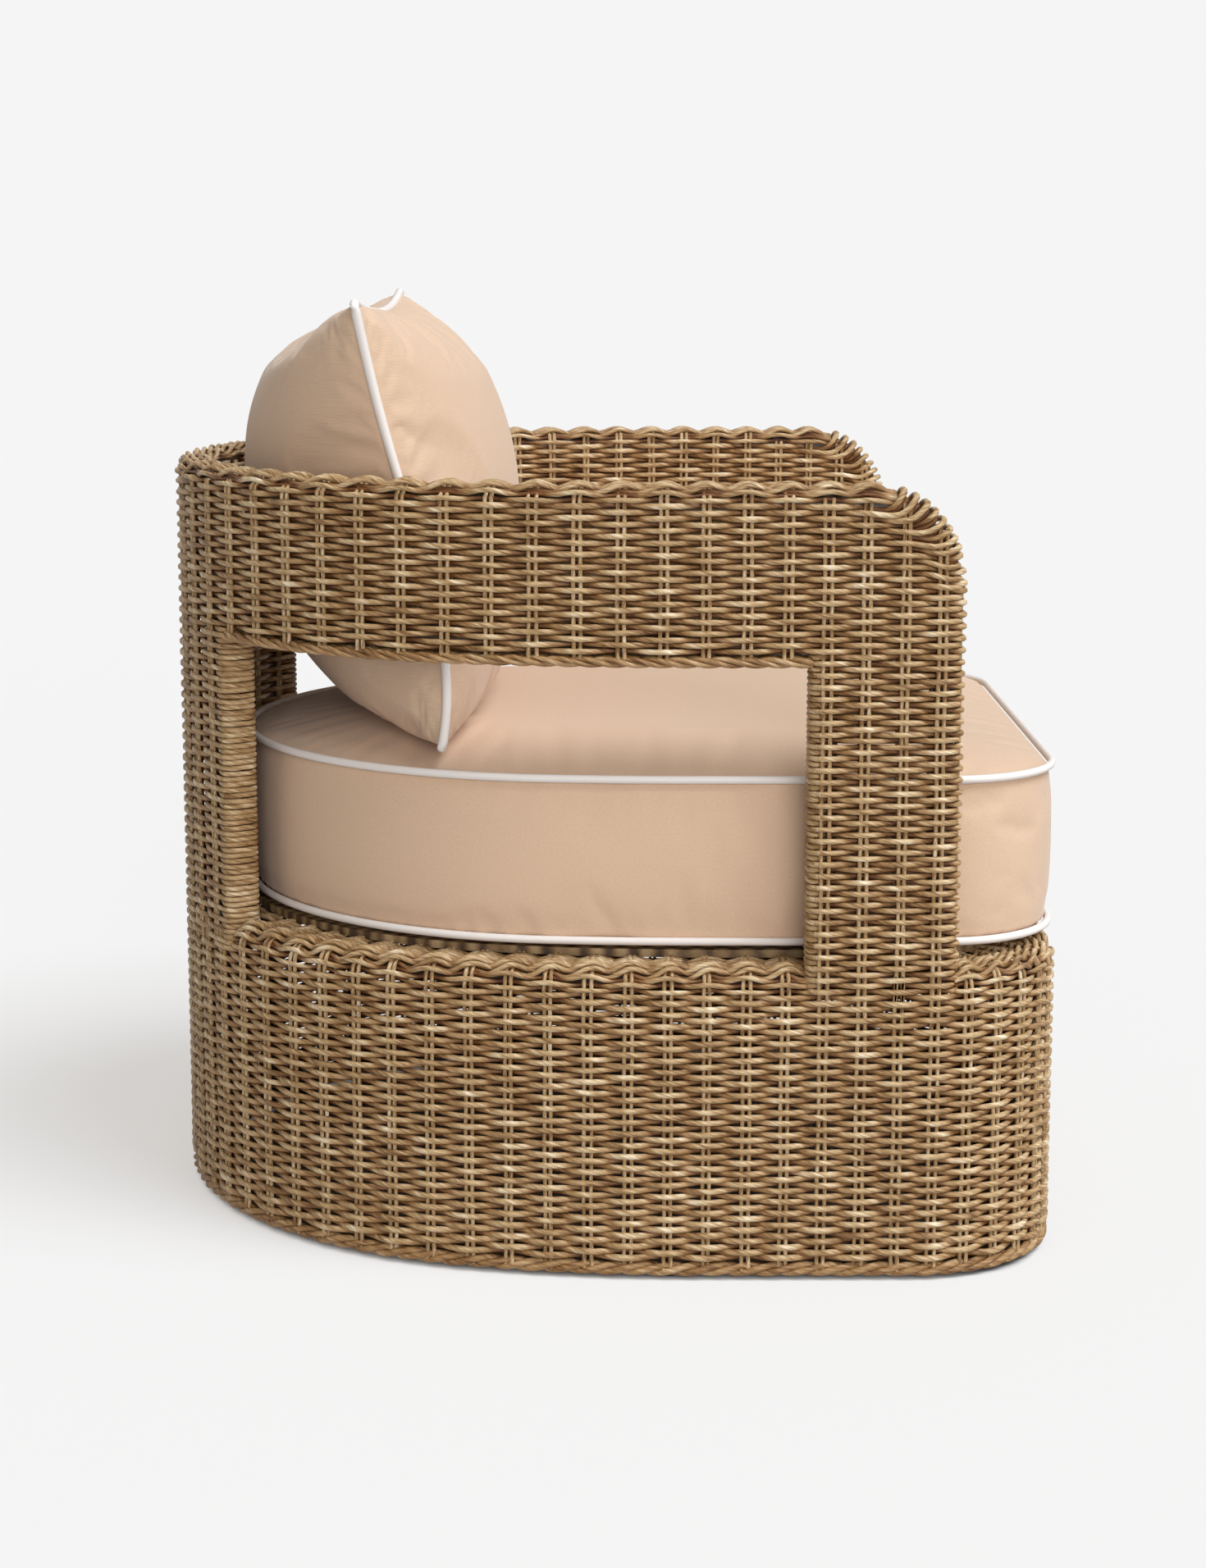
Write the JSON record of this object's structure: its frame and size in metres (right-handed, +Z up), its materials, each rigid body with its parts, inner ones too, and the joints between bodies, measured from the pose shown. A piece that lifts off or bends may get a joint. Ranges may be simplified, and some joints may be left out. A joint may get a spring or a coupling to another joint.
{
  "type": "barrel lounge chair",
  "caption": "Woven barrel lounge chair with open sides, a boxed seat cushion and a loose lumbar pillow, for a patio or garden.",
  "frame": {"origin": "floor level, under the middle of the shell's width and depth", "axes": "+Z up; the open front faces -Y; +X is the sitter's left"},
  "size_m": [0.778, 0.816, 0.8466],
  "materials": {
    "frame_metal": "satin powder coat, dark brown",
    "glide_nylon": "matte",
    "wicker_weave": "satin woven strand, tan brown with lighter streaks",
    "wicker_braid": "satin braided strand, tan brown",
    "canvas": "plain woven outdoor canvas, sand",
    "piping_cloth": "corded piping, off-white",
    "filling": "foam and fibre filling, hidden"
  },
  "bodies": {
    "chair": {"floor_hoop": "frame_metal", "seat_hoop": "frame_metal", "base_uprights": "frame_metal", "deck_bars": "frame_metal", "arm_tube": "frame_metal", "window_tube": "frame_metal", "wall_uprights": "frame_metal", "seat_deck": "wicker_braid", "glides_left": "glide_nylon", "glides_right": "glide_nylon", "foot_rope_border": "wicker_braid", "base_weave": "wicker_weave", "base_rim_braid": "wicker_braid", "post_weave_left": "wicker_weave", "post_weave_right": "wicker_weave", "back_wall_weave": "wicker_weave", "window_rope_left": "wicker_braid", "window_rope_right": "wicker_braid", "band_outer_weave": "wicker_weave", "band_inner_weave": "wicker_weave", "arm_top_braid": "wicker_braid", "arm_end_wrap_left": "wicker_braid", "arm_end_wrap_right": "wicker_braid"},
    "seat_cushion": {"seat_foam": "filling", "seat_cover_top": "canvas", "seat_cover_bottom": "canvas", "seat_boxing": "canvas", "seat_piping_top": "piping_cloth", "seat_piping_bottom": "piping_cloth"},
    "lumbar_pillow": {"pillow_insert": "filling", "pillow_front_panel": "canvas", "pillow_back_panel": "canvas", "pillow_piping": "piping_cloth"}
  },
  "joints": [
    {"name": "seat_lift", "type": "slide", "parent": "chair", "child": "seat_cushion", "axis": [0, 0, 1], "range_m": [0, 0.45]},
    {"name": "pillow_lift", "type": "slide", "parent": "seat_cushion", "child": "lumbar_pillow", "axis": [0, 0, 1], "range_m": [0, 0.3]}
  ]
}
